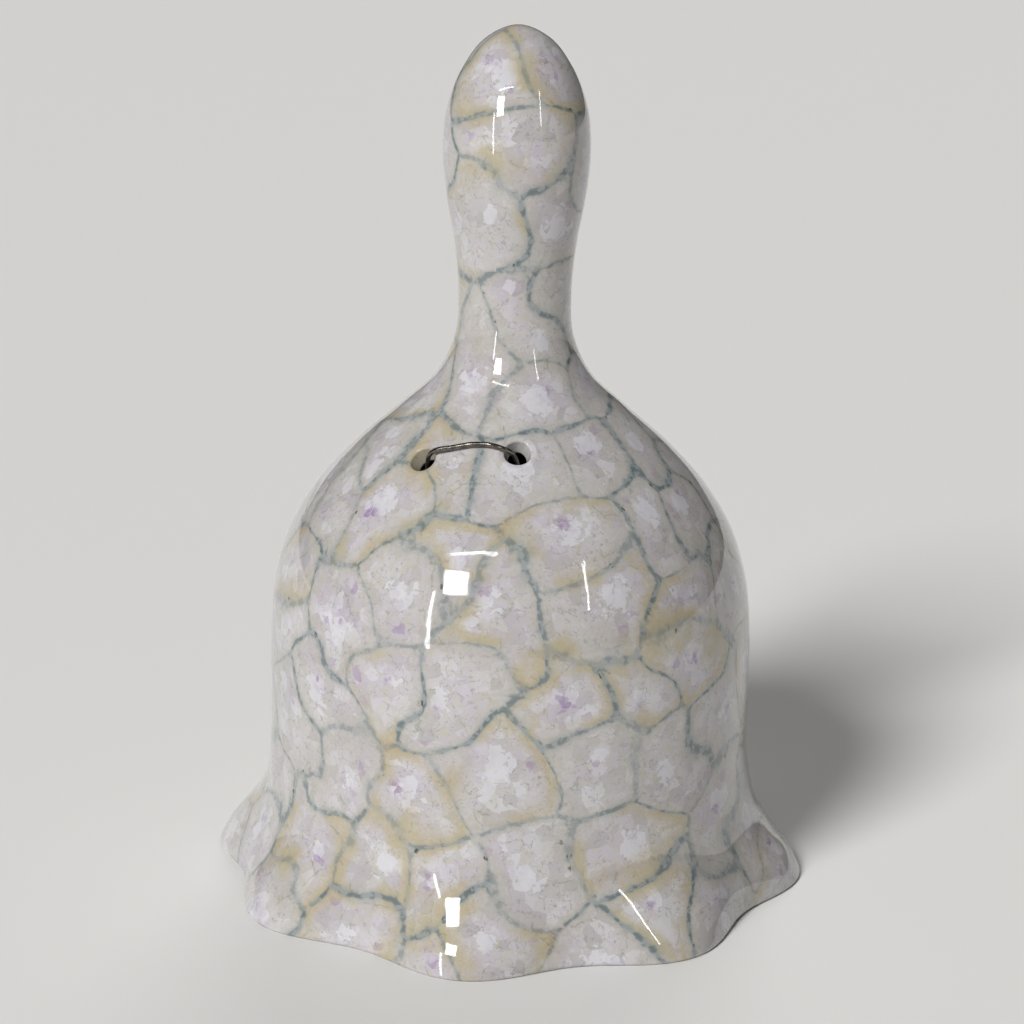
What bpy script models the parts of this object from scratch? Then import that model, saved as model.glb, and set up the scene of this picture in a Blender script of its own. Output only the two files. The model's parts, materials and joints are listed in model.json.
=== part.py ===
"""Porcelain hand bell: one glazed shell with its hollow handle, and the wire-hung clapper inside it.

The bell stands on its rim: the origin is the middle of the mouth, +Z runs up the handle, and the
two wire holes are in the shoulder at the front, which is -Y. Outlines and routes are written in
millimetres, and put_in_scene turns them into metres.
"""
import math

import bmesh
import bpy
import numpy as np
from mathutils import Vector

MM = 0.001

# Shell: outline of the outside, from the rim up to the end of the handle, as (radius, height)
OUTSIDE = [
    (50.9, 0.0), (49.5, 4.0), (46.9, 8.0), (44.2, 13.0), (42.9, 20.0), (42.4, 32.0), (42.3, 44.0),
    (41.3, 54.0), (38.8, 62.0), (33.9, 70.0), (27.5, 77.0), (19.6, 84.0), (13.4, 90.0), (10.2, 97.0),
    (9.7, 104.0), (10.4, 113.0), (11.8, 121.0), (12.5, 128.0), (11.9, 136.0), (9.2, 143.0),
    (5.4, 147.8), (0.0, 150.0),
]
WALL = 3.0
OUTSIDE_STEPS = 2
HOLE_OUTLINE_STEPS = 12
SIDES = 48
SHARP_ANGLE = math.radians(40.0)

# Rim: eight soft flutes that fade out up the flare, and rounded edges beside a flat foot
FLUTES = 8
FLUTE_DEPTH = 2.5
FLUTE_HEIGHT = 24.0
FLUTE_TURN = math.radians(-8.5)
RIM_ROUNDING = 0.9
ROUNDING_STEPS = 3

# Wire holes, drilled square to the shoulder: (azimuth from the front, height) of each centre
LEFT_HOLE = (math.radians(-38.4), 79.9)
RIGHT_HOLE = (math.radians(2.1), 82.0)
HOLE_RADIUS = 2.1
DRILL_LENGTH = 14.0
DRILL_SIDES = 24

# Wire parts
WIRE_RADIUS = 0.4
WIRE_CLEARANCE = 0.3
WIRE_SIDES_STEP = 2
WIRE_STEP = 0.55
CURVE_STEPS = 8
EYE_RADIUS = 2.4
EYE_POINTS = 24

# Hanger: the bridge over the shoulder, its bend through a hole as steps towards the other hole,
# uphill and outward, the twisted pair, and the eye that carries the link
BRIDGE_SHARES = (0.3, 0.5, 0.7)
BRIDGE_BOW = 1.5
BRIDGE_LIFT = WIRE_RADIUS + WIRE_CLEARANCE + 0.15
HOLE_BEND = [(2.3, 0.0, 0.85), (1.2, -0.1, 0.25), (0.4, -0.4, -1.1), (-0.2, -0.9, -2.9), (-0.3, -1.8, -4.8)]
LEFT_BEND_RISE = 0.5
RIGHT_BEND_RISE = 0.0
LEG_SAG = (0.0, -0.4, -0.9)
TWIST_TURNS = 3.0
TWIST_POINTS_PER_TURN = 8
TWIST_SPREAD = 0.52
TWIST_TOP = (-2.6, -10.5, 72.8)
TWIST_END = (-0.1, -3.4, 70.9)
HANGER_EYE = (math.radians(85.0), math.radians(-312.0))
HANGER_PIVOT_HEIGHT = 64.0

# Clapper
BALL_RADIUS = 8.0
BALL_HEIGHT = 15.0
BALL_BORE_RADIUS = 0.9
BALL_RINGS = 14
BALL_SIDES = 24
WRAP_TURNS = 3.0
WRAP_PITCH = 1.15
WRAP_DROP = 0.6
CLAPPER_EYE = (math.radians(-60.0), math.radians(300.0))
FOOT_EYE_RADIUS = 1.6
FOOT_EYE = (math.radians(90.0), math.radians(-310.0))

# What follows from them
HOOK_DROP = 2.0 * WIRE_RADIUS + WIRE_CLEARANCE
LINK_CENTRE = HANGER_PIVOT_HEIGHT + HOOK_DROP - EYE_RADIUS
LINK_PIVOT_HEIGHT = LINK_CENTRE - EYE_RADIUS
CLAPPER_EYE_CENTRE = LINK_PIVOT_HEIGHT + HOOK_DROP - EYE_RADIUS
WRAP_RADIUS = 2.0 * WIRE_RADIUS + WIRE_CLEARANCE
FOOT_EYE_CENTRE = BALL_HEIGHT - BALL_RADIUS - 2.0 * WIRE_CLEARANCE - WIRE_RADIUS - FOOT_EYE_RADIUS


def clear_scene():
    for item in list(bpy.data.objects):
        bpy.data.objects.remove(item, do_unlink=True)


def make_material(name, colour, roughness, metallic):
    material = bpy.data.materials.new(name)
    material.use_nodes = True
    shader = material.node_tree.nodes["Principled BSDF"]
    shader.inputs["Base Color"].default_value = (*colour, 1.0)
    shader.inputs["Roughness"].default_value = roughness
    shader.inputs["Metallic"].default_value = metallic
    return material


def smooth_curve(points, steps, end_direction=None):
    """A cubic through the points: each tangent is the mean slope of its two spans, the nearer counting more."""
    points = np.asarray(points, float)
    gaps = np.diff(points, axis=0)
    spans = np.linalg.norm(gaps, axis=1)[:, None]
    slopes = gaps / spans
    inner = (slopes[:-1] * spans[1:] + slopes[1:] * spans[:-1]) / (spans[:-1] + spans[1:])
    last = slopes[-1:] if end_direction is None else np.array([end_direction], float)
    tangents = np.vstack([slopes[:1], inner, last])
    at = (np.arange(steps) / steps)[None, :, None]
    start, finish = points[:-1, None], points[1:, None]
    leave, arrive = tangents[:-1, None] * spans[:, None], tangents[1:, None] * spans[:, None]
    cubic = (
        start * (2 * at**3 - 3 * at**2 + 1)
        + leave * (at**3 - 2 * at**2 + at)
        + finish * (3 * at**2 - 2 * at**3)
        + arrive * (at**3 - at**2)
    )
    return np.vstack([cubic.reshape(-1, points.shape[1]), points[-1:]])


def evenly(marks, step=WIRE_STEP):
    """The smooth curve through some marks, as points a set step apart along it."""
    curve = smooth_curve([tuple(mark) for mark in marks], CURVE_STEPS)
    run = np.concatenate([[0.0], np.cumsum(np.linalg.norm(np.diff(curve, axis=0), axis=1))])
    stops = np.linspace(0.0, run[-1], max(2, round(run[-1] / step)))
    return np.column_stack([np.interp(stops, run, curve[:, axis]) for axis in range(3)])


def outside_outline(steps=OUTSIDE_STEPS):
    return smooth_curve(OUTSIDE, steps, end_direction=(-1.0, 0.0))


def outward_normals(outline):
    """Unit normals of an outline that runs up the outside, turned away from the axis."""
    along = np.gradient(outline, axis=0)
    along[-1] = (-1.0, 0.0)
    along /= np.linalg.norm(along, axis=1)[:, None]
    return np.column_stack([along[:, 1], -along[:, 0]])


def inside_outline(outline):
    """The outside moved in by the wall; it starts below the foot, and rim_rows cuts it off there."""
    moved = outline - WALL * outward_normals(outline)
    moved[-1, 0] = 0.0
    return moved


def radius_at(outline, height):
    flare = outline[outline[:, 1] < FLUTE_HEIGHT]
    return float(np.interp(height, flare[:, 1], flare[:, 0]))


def rim_rows(outside, inside):
    """Rows round the rim, from the outside to the inside: a rounded edge, the flat foot, a rounded edge."""
    rows = []
    for side, outline in ((-1, outside), (1, inside)):
        corner = []
        for step in range(ROUNDING_STEPS + 1):
            angle = 0.5 * math.pi * step / ROUNDING_STEPS
            height = RIM_ROUNDING * (1.0 - math.sin(angle))
            radius = radius_at(outline, height) + side * RIM_ROUNDING * (1.0 - math.cos(angle))
            corner.append((radius, height))
        rows += corner if side < 0 else corner[::-1]
    return rows


def shell_section():
    """The whole wall as rows from the outer end of the handle, round the rim, to its inner end."""
    outside = outside_outline()
    inside = inside_outline(outside)
    outer_rows = [row for row in outside[::-1] if row[1] > RIM_ROUNDING]
    inner_rows = [row for row in inside[::OUTSIDE_STEPS] if row[1] > RIM_ROUNDING]
    return np.array(outer_rows + rim_rows(outside, inside) + inner_rows)


def fluted(radius, height, azimuth):
    """Eight waves round the rim that fade with the square of the height left above them."""
    fade = max(0.0, 1.0 - height / FLUTE_HEIGHT) ** 2
    return radius + FLUTE_DEPTH * fade * math.cos(FLUTES * (azimuth - FLUTE_TURN))


def shell_point(radius, height, azimuth):
    return Vector((radius * math.sin(azimuth), -radius * math.cos(azimuth), height))


def add_mesh(name, points, faces, material, parent=None, origin=(0.0, 0.0, 0.0)):
    """A closed mesh from points in millimetres, smooth shaded, with its own origin."""
    origin = Vector(origin)
    mesh = bpy.data.meshes.new(name)
    mesh.from_pydata([(Vector(point) - origin) * MM for point in points], [], faces)
    mesh.materials.append(material)
    mesh.shade_smooth()
    mesh.set_sharp_from_angle(angle=SHARP_ANGLE)
    item = bpy.data.objects.new(name, mesh)
    put_in_scene(item, origin, parent)
    return item


def put_in_scene(item, origin, parent=None):
    bpy.context.scene.collection.objects.link(item)
    item.location = Vector(origin) * MM
    if parent is not None:
        item.parent = parent
        item.location = Vector(origin) * MM - parent.matrix_world.translation
    bpy.context.view_layer.update()


def turned_faces(rows, sides):
    """Faces of a turned wall whose first and last points are the poles."""
    last = 1 + rows * sides
    faces = []
    for side in range(sides):
        after = (side + 1) % sides
        faces.append((0, 1 + side, 1 + after))
        for row in range(rows - 1):
            here = 1 + row * sides
            faces.append((here + side, here + sides + side, here + sides + after, here + after))
        bottom = 1 + (rows - 1) * sides
        faces.append((bottom + side, last, bottom + after))
    return faces


def hole_frame(hole):
    """The centre of a hole on the outside, its normal, and the direction up the shoulder."""
    azimuth, height = hole
    outline = outside_outline(steps=HOLE_OUTLINE_STEPS)
    nearest = int(np.argmin(np.abs(outline[:, 1] - height)))
    normal_out, normal_up = outward_normals(outline)[nearest]
    centre = shell_point(float(outline[nearest, 0]), height, azimuth)
    outward = Vector((math.sin(azimuth), -math.cos(azimuth), 0.0))
    normal = outward * float(normal_out) + Vector((0.0, 0.0, float(normal_up)))
    uphill = outward * -float(normal_up) + Vector((0.0, 0.0, float(normal_out)))
    return centre, normal, uphill


def add_drill(shell, name, hole):
    """A cylinder square to the shoulder that cuts one wire hole through the wall."""
    centre, normal, _ = hole_frame(hole)
    work = bmesh.new()
    bmesh.ops.create_cone(
        work, cap_ends=True, segments=DRILL_SIDES, radius1=HOLE_RADIUS * MM,
        radius2=HOLE_RADIUS * MM, depth=DRILL_LENGTH * MM,
    )
    mesh = bpy.data.meshes.new(name)
    work.to_mesh(mesh)
    work.free()
    drill = bpy.data.objects.new(name, mesh)
    put_in_scene(drill, centre)
    drill.rotation_euler = normal.to_track_quat("Z", "Y").to_euler()
    drill.hide_render = True
    drill.display_type = "WIRE"
    cut = shell.modifiers.new(name, "BOOLEAN")
    cut.operation = "DIFFERENCE"
    cut.solver = "EXACT"
    cut.object = drill


def make_shell(material):
    section = shell_section()
    first, rings, last = section[0], section[1:-1], section[-1]
    points = [(0.0, 0.0, first[1])]
    for radius, height in rings:
        for side in range(SIDES):
            azimuth = 2.0 * math.pi * side / SIDES
            points.append(shell_point(fluted(radius, height, azimuth), height, azimuth))
    points.append((0.0, 0.0, last[1]))
    shell = add_mesh("bell_shell", points, turned_faces(len(rings), SIDES), material)
    add_drill(shell, "left_hole_drill", LEFT_HOLE)
    add_drill(shell, "right_hole_drill", RIGHT_HOLE)
    return shell


def add_wire(name, route, material, origin, closed=False, parent=None):
    """A round wire along a route of points in millimetres, with filled ends unless it is a ring."""
    curve = bpy.data.curves.new(name, "CURVE")
    curve.dimensions = "3D"
    curve.bevel_depth = WIRE_RADIUS * MM
    curve.bevel_resolution = WIRE_SIDES_STEP
    curve.use_fill_caps = not closed
    spline = curve.splines.new("POLY")
    spline.points.add(len(route) - 1)
    for point, place in zip(spline.points, route):
        point.co = (*((Vector(place) - Vector(origin)) * MM), 1.0)
    spline.use_cyclic_u = closed
    curve.materials.append(material)
    item = bpy.data.objects.new(name, curve)
    put_in_scene(item, origin, parent)
    return item


def ring_route(centre, radius, across, start, sweep, points):
    """An arc round a centre in the upright plane that holds the direction across."""
    centre, across, up = Vector(centre), Vector(across), Vector((0.0, 0.0, 1.0))
    route = []
    for step in range(points):
        angle = start + sweep * step / (points - 1)
        route.append(centre + radius * (math.cos(angle) * across + math.sin(angle) * up))
    return route


def strand(start_angle, turns):
    """One wire of the twisted pair: a helix round the line from TWIST_TOP to TWIST_END."""
    top, end = Vector(TWIST_TOP), Vector(TWIST_END)
    along = (end - top).normalized()
    side = along.cross(Vector((0.0, 0.0, 1.0))).normalized()
    upper = side.cross(along)
    count = int(turns * TWIST_POINTS_PER_TURN)
    route = []
    for step in range(count + 1):
        angle = start_angle + 2.0 * math.pi * step / TWIST_POINTS_PER_TURN
        centre = top.lerp(end, step / (TWIST_TURNS * TWIST_POINTS_PER_TURN))
        route.append(centre + TWIST_SPREAD * (math.cos(angle) * side + math.sin(angle) * upper))
    return route


def hole_route(hole, towards, uphill_shift):
    """The wire's bend through one hole, from the bridge outside to the inside of the shoulder."""
    centre, normal, uphill = hole_frame(hole)
    towards = (towards - normal * towards.dot(normal)).normalized()
    return [
        centre + towards * away + uphill * (rise + uphill_shift) + normal * out for away, rise, out in HOLE_BEND
    ]


def bridge_route():
    """The wire over the shoulder from hole to hole, bowed uphill and held off by the clearance."""
    route = []
    for share in BRIDGE_SHARES:
        azimuth = LEFT_HOLE[0] + share * (RIGHT_HOLE[0] - LEFT_HOLE[0])
        height = LEFT_HOLE[1] + share * (RIGHT_HOLE[1] - LEFT_HOLE[1])
        centre, normal, _ = hole_frame((azimuth, height + BRIDGE_BOW * math.sin(math.pi * share)))
        route.append(centre + normal * BRIDGE_LIFT)
    return route


def hanger_route():
    """Up one strand, out through the left hole, over the shoulder, in at the right hole, and round the eye."""
    left, _, _ = hole_frame(LEFT_HOLE)
    right, _, _ = hole_frame(RIGHT_HOLE)
    left_leg = hole_route(LEFT_HOLE, right - left, LEFT_BEND_RISE)
    right_leg = hole_route(RIGHT_HOLE, left - right, RIGHT_BEND_RISE)
    eye_centre = (0.0, 0.0, HANGER_PIVOT_HEIGHT + EYE_RADIUS)
    eye = ring_route(eye_centre, EYE_RADIUS, (0.0, 1.0, 0.0), *HANGER_EYE, EYE_POINTS)
    outer_strand = strand(math.pi, TWIST_TURNS - 0.5)
    inner_strand = strand(0.0, TWIST_TURNS)
    left_leg.append(left_leg[-1].lerp(outer_strand[0], 0.5) + Vector(LEG_SAG))
    right_leg.append(right_leg[-1].lerp(inner_strand[0], 0.5) + Vector(LEG_SAG))
    return evenly(outer_strand[::-1] + left_leg[::-1] + bridge_route() + right_leg + inner_strand + eye)


def hanger_pivot():
    left, left_normal, _ = hole_frame(LEFT_HOLE)
    right, right_normal, _ = hole_frame(RIGHT_HOLE)
    middle = (left + right) / 2.0
    return middle - (left_normal + right_normal) / 2.0 * (WALL / 2.0)


def link_route():
    return ring_route(
        (0.0, 0.0, LINK_CENTRE), EYE_RADIUS, (1.0, 0.0, 0.0), 0.0,
        2.0 * math.pi * (1.0 - 1.0 / EYE_POINTS), EYE_POINTS,
    )


def clapper_route():
    """A wrap round the stem, the top eye, the stem down through the ball, and the foot eye under it."""
    wrap_top = CLAPPER_EYE_CENTRE - EYE_RADIUS - WRAP_DROP
    wrap = []
    for step in range(int(WRAP_TURNS * TWIST_POINTS_PER_TURN) + 1):
        turn = step / TWIST_POINTS_PER_TURN
        angle = 2.0 * math.pi * turn + 0.5 * math.pi
        height = wrap_top - WRAP_PITCH * turn
        wrap.append((WRAP_RADIUS * math.cos(angle), WRAP_RADIUS * math.sin(angle), height))
    eye = ring_route((0.0, 0.0, CLAPPER_EYE_CENTRE), EYE_RADIUS, (0.0, 1.0, 0.0), *CLAPPER_EYE, EYE_POINTS)
    stem_top = wrap_top - 0.4
    stem_end = BALL_HEIGHT - BALL_RADIUS
    foot = ring_route((0.0, 0.0, FOOT_EYE_CENTRE), FOOT_EYE_RADIUS, (0.0, 1.0, 0.0), *FOOT_EYE, EYE_POINTS)
    head = evenly(wrap[::-1] + eye + [(0.0, 0.0, stem_top), (0.0, 0.0, stem_top - 1.0)])
    tail = evenly([(0.0, 0.0, stem_end + 0.5), (0.0, 0.0, stem_end)] + foot)
    return np.vstack([head, tail])


def ball_section():
    """Rows of the bored ball, down the outside and back up the bore."""
    edge = math.asin(BALL_BORE_RADIUS / BALL_RADIUS)
    rows = []
    for step in range(BALL_RINGS + 1):
        angle = edge + (math.pi - 2.0 * edge) * step / BALL_RINGS
        rows.append((BALL_RADIUS * math.sin(angle), BALL_HEIGHT + BALL_RADIUS * math.cos(angle)))
    return rows


def make_ball(material, parent):
    rows = ball_section()
    points = []
    for radius, height in rows:
        for side in range(BALL_SIDES):
            azimuth = 2.0 * math.pi * side / BALL_SIDES
            points.append(shell_point(radius, height, azimuth))
    faces = []
    for row in range(len(rows)):
        here = row * BALL_SIDES
        below = ((row + 1) % len(rows)) * BALL_SIDES
        for side in range(BALL_SIDES):
            after = (side + 1) % BALL_SIDES
            faces.append((here + side, below + side, below + after, here + after))
    return add_mesh("clapper_ball", points, faces, material, parent, (0.0, 0.0, BALL_HEIGHT))


def main():
    clear_scene()
    glaze = make_material("pale lilac crackle glaze", (0.74, 0.72, 0.74), 0.10, 0.0)
    ball_glaze = make_material("plain white glaze", (0.80, 0.79, 0.77), 0.15, 0.0)
    hanger_steel = make_material("hanger steel", (0.42, 0.41, 0.40), 0.28, 1.0)
    link_steel = make_material("link steel", (0.52, 0.51, 0.50), 0.25, 1.0)
    clapper_steel = make_material("clapper steel", (0.46, 0.45, 0.44), 0.28, 1.0)
    shell = make_shell(glaze)
    hanger = add_wire("hanger_wire", hanger_route(), hanger_steel, hanger_pivot(), parent=shell)
    link = add_wire(
        "link_ring", link_route(), link_steel, (0.0, 0.0, HANGER_PIVOT_HEIGHT), closed=True, parent=hanger,
    )
    clapper = add_wire(
        "clapper_wire", clapper_route(), clapper_steel, (0.0, 0.0, LINK_PIVOT_HEIGHT), parent=link,
    )
    make_ball(ball_glaze, clapper)


main()
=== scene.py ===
"""Porcelain hand bell: a crackle-glazed shell, the steel wires inside it, a clapper ball and a plain stage.

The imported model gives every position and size. Each piece is a surface worked out with numpy in the
bell's own frame, in millimetres, and is turned into metres when it becomes a mesh.
"""
import json
import math

import bpy
import numpy as np
from bpy.props import FloatProperty, FloatVectorProperty, IntProperty, PointerProperty
from bpy.types import Operator, Panel, PropertyGroup
from mathutils import Matrix, Vector


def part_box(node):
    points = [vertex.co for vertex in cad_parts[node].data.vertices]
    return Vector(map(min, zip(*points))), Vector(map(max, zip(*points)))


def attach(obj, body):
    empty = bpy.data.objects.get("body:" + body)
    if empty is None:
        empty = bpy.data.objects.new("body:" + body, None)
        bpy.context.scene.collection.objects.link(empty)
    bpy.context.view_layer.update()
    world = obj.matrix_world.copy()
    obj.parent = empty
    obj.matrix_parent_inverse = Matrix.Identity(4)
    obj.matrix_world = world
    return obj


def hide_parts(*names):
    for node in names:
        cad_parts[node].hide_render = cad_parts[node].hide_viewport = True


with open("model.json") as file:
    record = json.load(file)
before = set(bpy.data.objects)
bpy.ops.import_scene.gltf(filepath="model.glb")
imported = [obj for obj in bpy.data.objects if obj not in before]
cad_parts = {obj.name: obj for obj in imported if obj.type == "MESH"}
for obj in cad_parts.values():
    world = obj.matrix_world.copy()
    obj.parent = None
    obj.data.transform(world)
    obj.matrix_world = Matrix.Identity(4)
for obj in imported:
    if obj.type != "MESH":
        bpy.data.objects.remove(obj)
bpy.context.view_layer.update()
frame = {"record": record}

bl_info = {
    "name": "Porcelain hand bell",
    "version": (1, 0, 0),
    "blender": (4, 5, 0),
    "location": "3D View > Sidebar > Bell",
    "description": "Makes a crackle-glazed porcelain hand bell with its wire-hung clapper",
    "category": "Add Mesh",
}

MM = 0.001

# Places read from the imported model, in millimetres
JOINTS = {joint["name"]: joint for joint in frame["record"]["behaviour"]["joints"]}
SHELL_BOX = np.array(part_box("bell_shell")) / MM
BALL_BOX = np.array(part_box("clapper_ball")) / MM
LINK_BOX = np.array(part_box("link_ring")) / MM
CLAPPER_BOX = np.array(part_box("clapper_wire")) / MM
BELL_HEIGHT = float(SHELL_BOX[1, 2])
BALL_CENTRE = 0.5 * (BALL_BOX[0] + BALL_BOX[1])
BALL_RADIUS = 0.5 * float(BALL_BOX[1, 0] - BALL_BOX[0, 0])
HANGER_PIVOT = np.array(JOINTS["link_swing"]["pos_m"]) / MM

# Outline of the shell's outside from the rim to the end of the handle, as (radius, height)
OUTLINE_HEIGHT = 150.0
OUTSIDE = [
    (50.9, 0.0), (49.5, 4.0), (46.9, 8.0), (44.2, 13.0), (42.9, 20.0), (42.4, 32.0), (42.3, 44.0),
    (41.3, 54.0), (38.8, 62.0), (33.9, 70.0), (27.5, 77.0), (19.6, 84.0), (13.4, 90.0), (10.2, 97.0),
    (9.7, 104.0), (10.4, 113.0), (11.8, 121.0), (12.5, 128.0), (11.9, 136.0), (9.2, 143.0),
    (5.4, 147.8), (0.0, 150.0),
]
OUTLINE_ROWS = 184
SHELL_COLUMNS = 236
POLE_DIRECTION = (-1.0, 0.0)

# The wire holes: (azimuth from the front, height) of each centre on the outside
LEFT_HOLE = (math.radians(-38.4), 79.9)
RIGHT_HOLE = (math.radians(2.1), 82.0)
HOLE_WINDOW_MM = 4.6

# The glaze pattern: its seed, and how many different veins its table of random traits holds
SEED = 11
TRAIT_ROWS = 997

# Further than any vein or spot of the glaze reaches, in millimetres or in spot radii
FAR = 9.0


def display_colour(red, green, blue):
    """A colour read off a screen, 0 to 255, as linear light."""
    values = np.array([red, green, blue]) / 255.0
    linear = np.where(values <= 0.04045, values / 12.92, ((values + 0.055) / 1.055) ** 2.4)
    return tuple(float(value) for value in linear)


def colour_setting(name, description, *shade):
    return FloatVectorProperty(
        name=name, description=description, subtype="COLOR", size=3, min=0.0, max=1.0,
        default=display_colour(*shade),
    )


def length_setting(name, description, millimetres):
    return FloatProperty(name=name, description=description, unit="LENGTH", default=millimetres * MM, min=0.0)


def angle_setting(name, description, degrees):
    return FloatProperty(name=name, description=description, subtype="ANGLE", default=math.radians(degrees))


def strength_setting(name, description, strength):
    return FloatProperty(name=name, description=description, default=strength, min=0.0)


class BellShellSizes(PropertyGroup):
    """Sizes of the cast shell that a potter would choose."""

    wall: length_setting("Wall", "Thickness of the fired wall", 3.0)
    flutes: IntProperty(name="Flutes", description="Waves round the rim", default=8, min=1)
    flute_depth: length_setting("Flute depth", "How far a flute stands out of the round", 2.5)
    flute_height: length_setting("Flute height", "How far up the flare the flutes fade out", 24.0)
    flute_turn: angle_setting("Flute turn", "Azimuth of one flute's crest", -8.5)
    rim_rounding: length_setting("Rim rounding", "Radius of the edges beside the foot", 0.9)
    hole_radius: length_setting("Hole radius", "Radius of each wire hole inside its lip", 2.25)
    lip_radius: length_setting("Lip radius", "Rounding of the glaze into a hole", 0.5)
    hole_taper: length_setting("Hole taper", "How much narrower a hole is at its inner end", 0.55)
    lip_swell: length_setting("Lip swell", "How far the pooled glaze stands up round a hole", 0.12)


class WireSizes(PropertyGroup):
    """Sizes of the bent steel wires."""

    radius: length_setting("Radius", "Radius of the drawn wire", 0.4)
    eye_radius: length_setting("Eye radius", "Middle radius of the eyes and of the link", 2.4)
    foot_eye_radius: length_setting("Foot eye radius", "Middle radius of the eye under the ball", 1.6)
    bridge_bow: length_setting("Bridge bow", "How far the bridge leans up the shoulder", 1.5)
    twist_spread: length_setting("Twist spread", "Distance of each strand from the pair's middle", 0.45)
    bore_radius: length_setting("Bore radius", "Radius of the hole through the ball", 0.9)


class GlazeLook(PropertyGroup):
    """Colours and sizes of the crackle glaze."""

    body: colour_setting("Body", "Pale grey of the glaze over the porcelain", 197, 194, 194)
    white: colour_setting("White", "Palest patches inside the cells", 217, 216, 221)
    lilac: colour_setting("Lilac", "Soft lilac bloom", 190, 181, 196)
    cream: colour_setting("Cream", "Warm grey cream beside the veins", 191, 187, 173)
    ochre: colour_setting("Ochre", "Warm stain on one side of a vein", 182, 167, 126)
    rust: colour_setting("Rust", "Iron spots", 138, 94, 48)
    purple: colour_setting("Purple", "Angular flecks inside the cells", 152, 126, 166)
    vein: colour_setting("Vein", "Middle of a vein", 148, 157, 159)
    vein_edge: colour_setting("Vein edge", "Thin dark line down each side of a vein", 88, 104, 106)
    shade: colour_setting("Shade", "Grey of the folds in the glaze", 164, 158, 158)
    # Shade is the grey of the folds and shards in the glaze. It is also the painted shade that darkens the
    # ground beside each vein.
    burnt: colour_setting("Burnt", "Dark specks along the veins", 42, 42, 38)
    inside: colour_setting("Inside", "Plain glaze inside the bell", 208, 204, 196)
    cell: length_setting("Cell", "Usual width of a cell between veins", 15.5)


class StageLook(PropertyGroup):
    """The plain floor, the camera and the lights."""

    floor: colour_setting("Floor", "Plain pale floor", 232, 231, 229)
    floor_size: length_setting("Floor size", "Width of the square floor", 9000.0)
    lens: FloatProperty(
        name="Lens", description="Focal length", default=102.0, min=1.0, subtype="DISTANCE_CAMERA",
    )
    distance: length_setting("Distance", "From the camera to the bell's axis along its line of sight", 508.7)
    aim_height: length_setting("Aim height", "Height on the axis that the camera looks at", 64.95)
    pitch: angle_setting("Pitch", "How far it looks down", 17.08)
    roll: angle_setting("Roll", "Tilt of the frame", 0.79)
    key: strength_setting("Key", "Strength of the soft key light", 2.95)
    back: strength_setting("Back", "Strength of the soft light from behind", 0.8)
    lamps: strength_setting("Lamps", "Radiance of the lamps seen in the glaze", 16.0)
    fill: strength_setting("Fill", "Strength of the even surrounding light", 0.09)


# --- Surfaces ---------------------------------------------------------------------------------------


def smooth_curve(points, steps, end_direction=None):
    """A cubic through the points; a tangent is its two spans' mean slope, the nearer counting more."""
    points = np.asarray(points, float)
    gaps = np.diff(points, axis=0)
    spans = np.linalg.norm(gaps, axis=1)[:, None]
    slopes = gaps / spans
    inner = (slopes[:-1] * spans[1:] + slopes[1:] * spans[:-1]) / (spans[:-1] + spans[1:])
    last = slopes[-1:] if end_direction is None else np.array([end_direction], float)
    tangents = np.vstack([slopes[:1], inner, last])
    at = (np.arange(steps) / steps)[None, :, None]
    start, finish = points[:-1, None], points[1:, None]
    leave, arrive = tangents[:-1, None] * spans[:, None], tangents[1:, None] * spans[:, None]
    cubic = (
        start * (2 * at**3 - 3 * at**2 + 1)
        + leave * (at**3 - 2 * at**2 + at)
        + finish * (3 * at**2 - 2 * at**3)
        + arrive * (at**3 - at**2)
    )
    return np.vstack([cubic.reshape(-1, points.shape[1]), points[-1:]])


def run_along(curve):
    """Distance along a curve at each of its points."""
    return np.concatenate([[0.0], np.cumsum(np.linalg.norm(np.diff(curve, axis=0), axis=1))])


def evenly(curve, count):
    """The same curve as points an equal distance apart."""
    run = run_along(curve)
    stops = np.linspace(0.0, run[-1], count)
    return np.column_stack([np.interp(stops, run, curve[:, axis]) for axis in range(curve.shape[1])])


def turned(radius, height, azimuth):
    """Points at a radius and a height, turned to an azimuth that runs from the front to the right."""
    return np.stack([radius * np.sin(azimuth), -radius * np.cos(azimuth), height + 0.0 * azimuth], axis=-1)


class ShellSurface:
    """The shell's wall as a function: azimuth, distance up the outline, and depth into the wall.

    The outline gives a radius, a height and a normal at each distance; the depth moves along the
    normal; the flutes add a wave of the azimuth that fades with the square of the height left.
    """

    def __init__(self, sizes):
        self.scale = BELL_HEIGHT / OUTLINE_HEIGHT
        self.sizes = sizes
        self.wall = sizes.wall / MM
        self.outline = evenly(smooth_curve(OUTSIDE, 24, POLE_DIRECTION), OUTLINE_ROWS) * self.scale
        self.run = run_along(self.outline)
        along = np.gradient(self.outline, axis=0)
        along[-1] = POLE_DIRECTION
        along /= np.linalg.norm(along, axis=1)[:, None]
        self.normals = np.column_stack([along[:, 1], -along[:, 0]])

    def section(self, distance, depth):
        radius = np.interp(distance, self.run, self.outline[:, 0])
        height = np.interp(distance, self.run, self.outline[:, 1])
        out = np.interp(distance, self.run, self.normals[:, 0])
        up = np.interp(distance, self.run, self.normals[:, 1])
        return radius - depth * out, height - depth * up

    def place(self, radius, height, azimuth):
        sizes = self.sizes
        fade = np.clip(1.0 - height * MM / sizes.flute_height, 0.0, 1.0) ** 2
        wave = np.cos(sizes.flutes * (azimuth - sizes.flute_turn))
        radius = radius + sizes.flute_depth / MM * fade * wave
        return turned(radius, height, azimuth)

    def point(self, azimuth, distance, depth):
        radius, height = self.section(distance, depth)
        return self.place(radius, height, azimuth)

    def distance_at(self, height):
        return float(np.interp(height, self.outline[:, 1], self.run))


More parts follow.
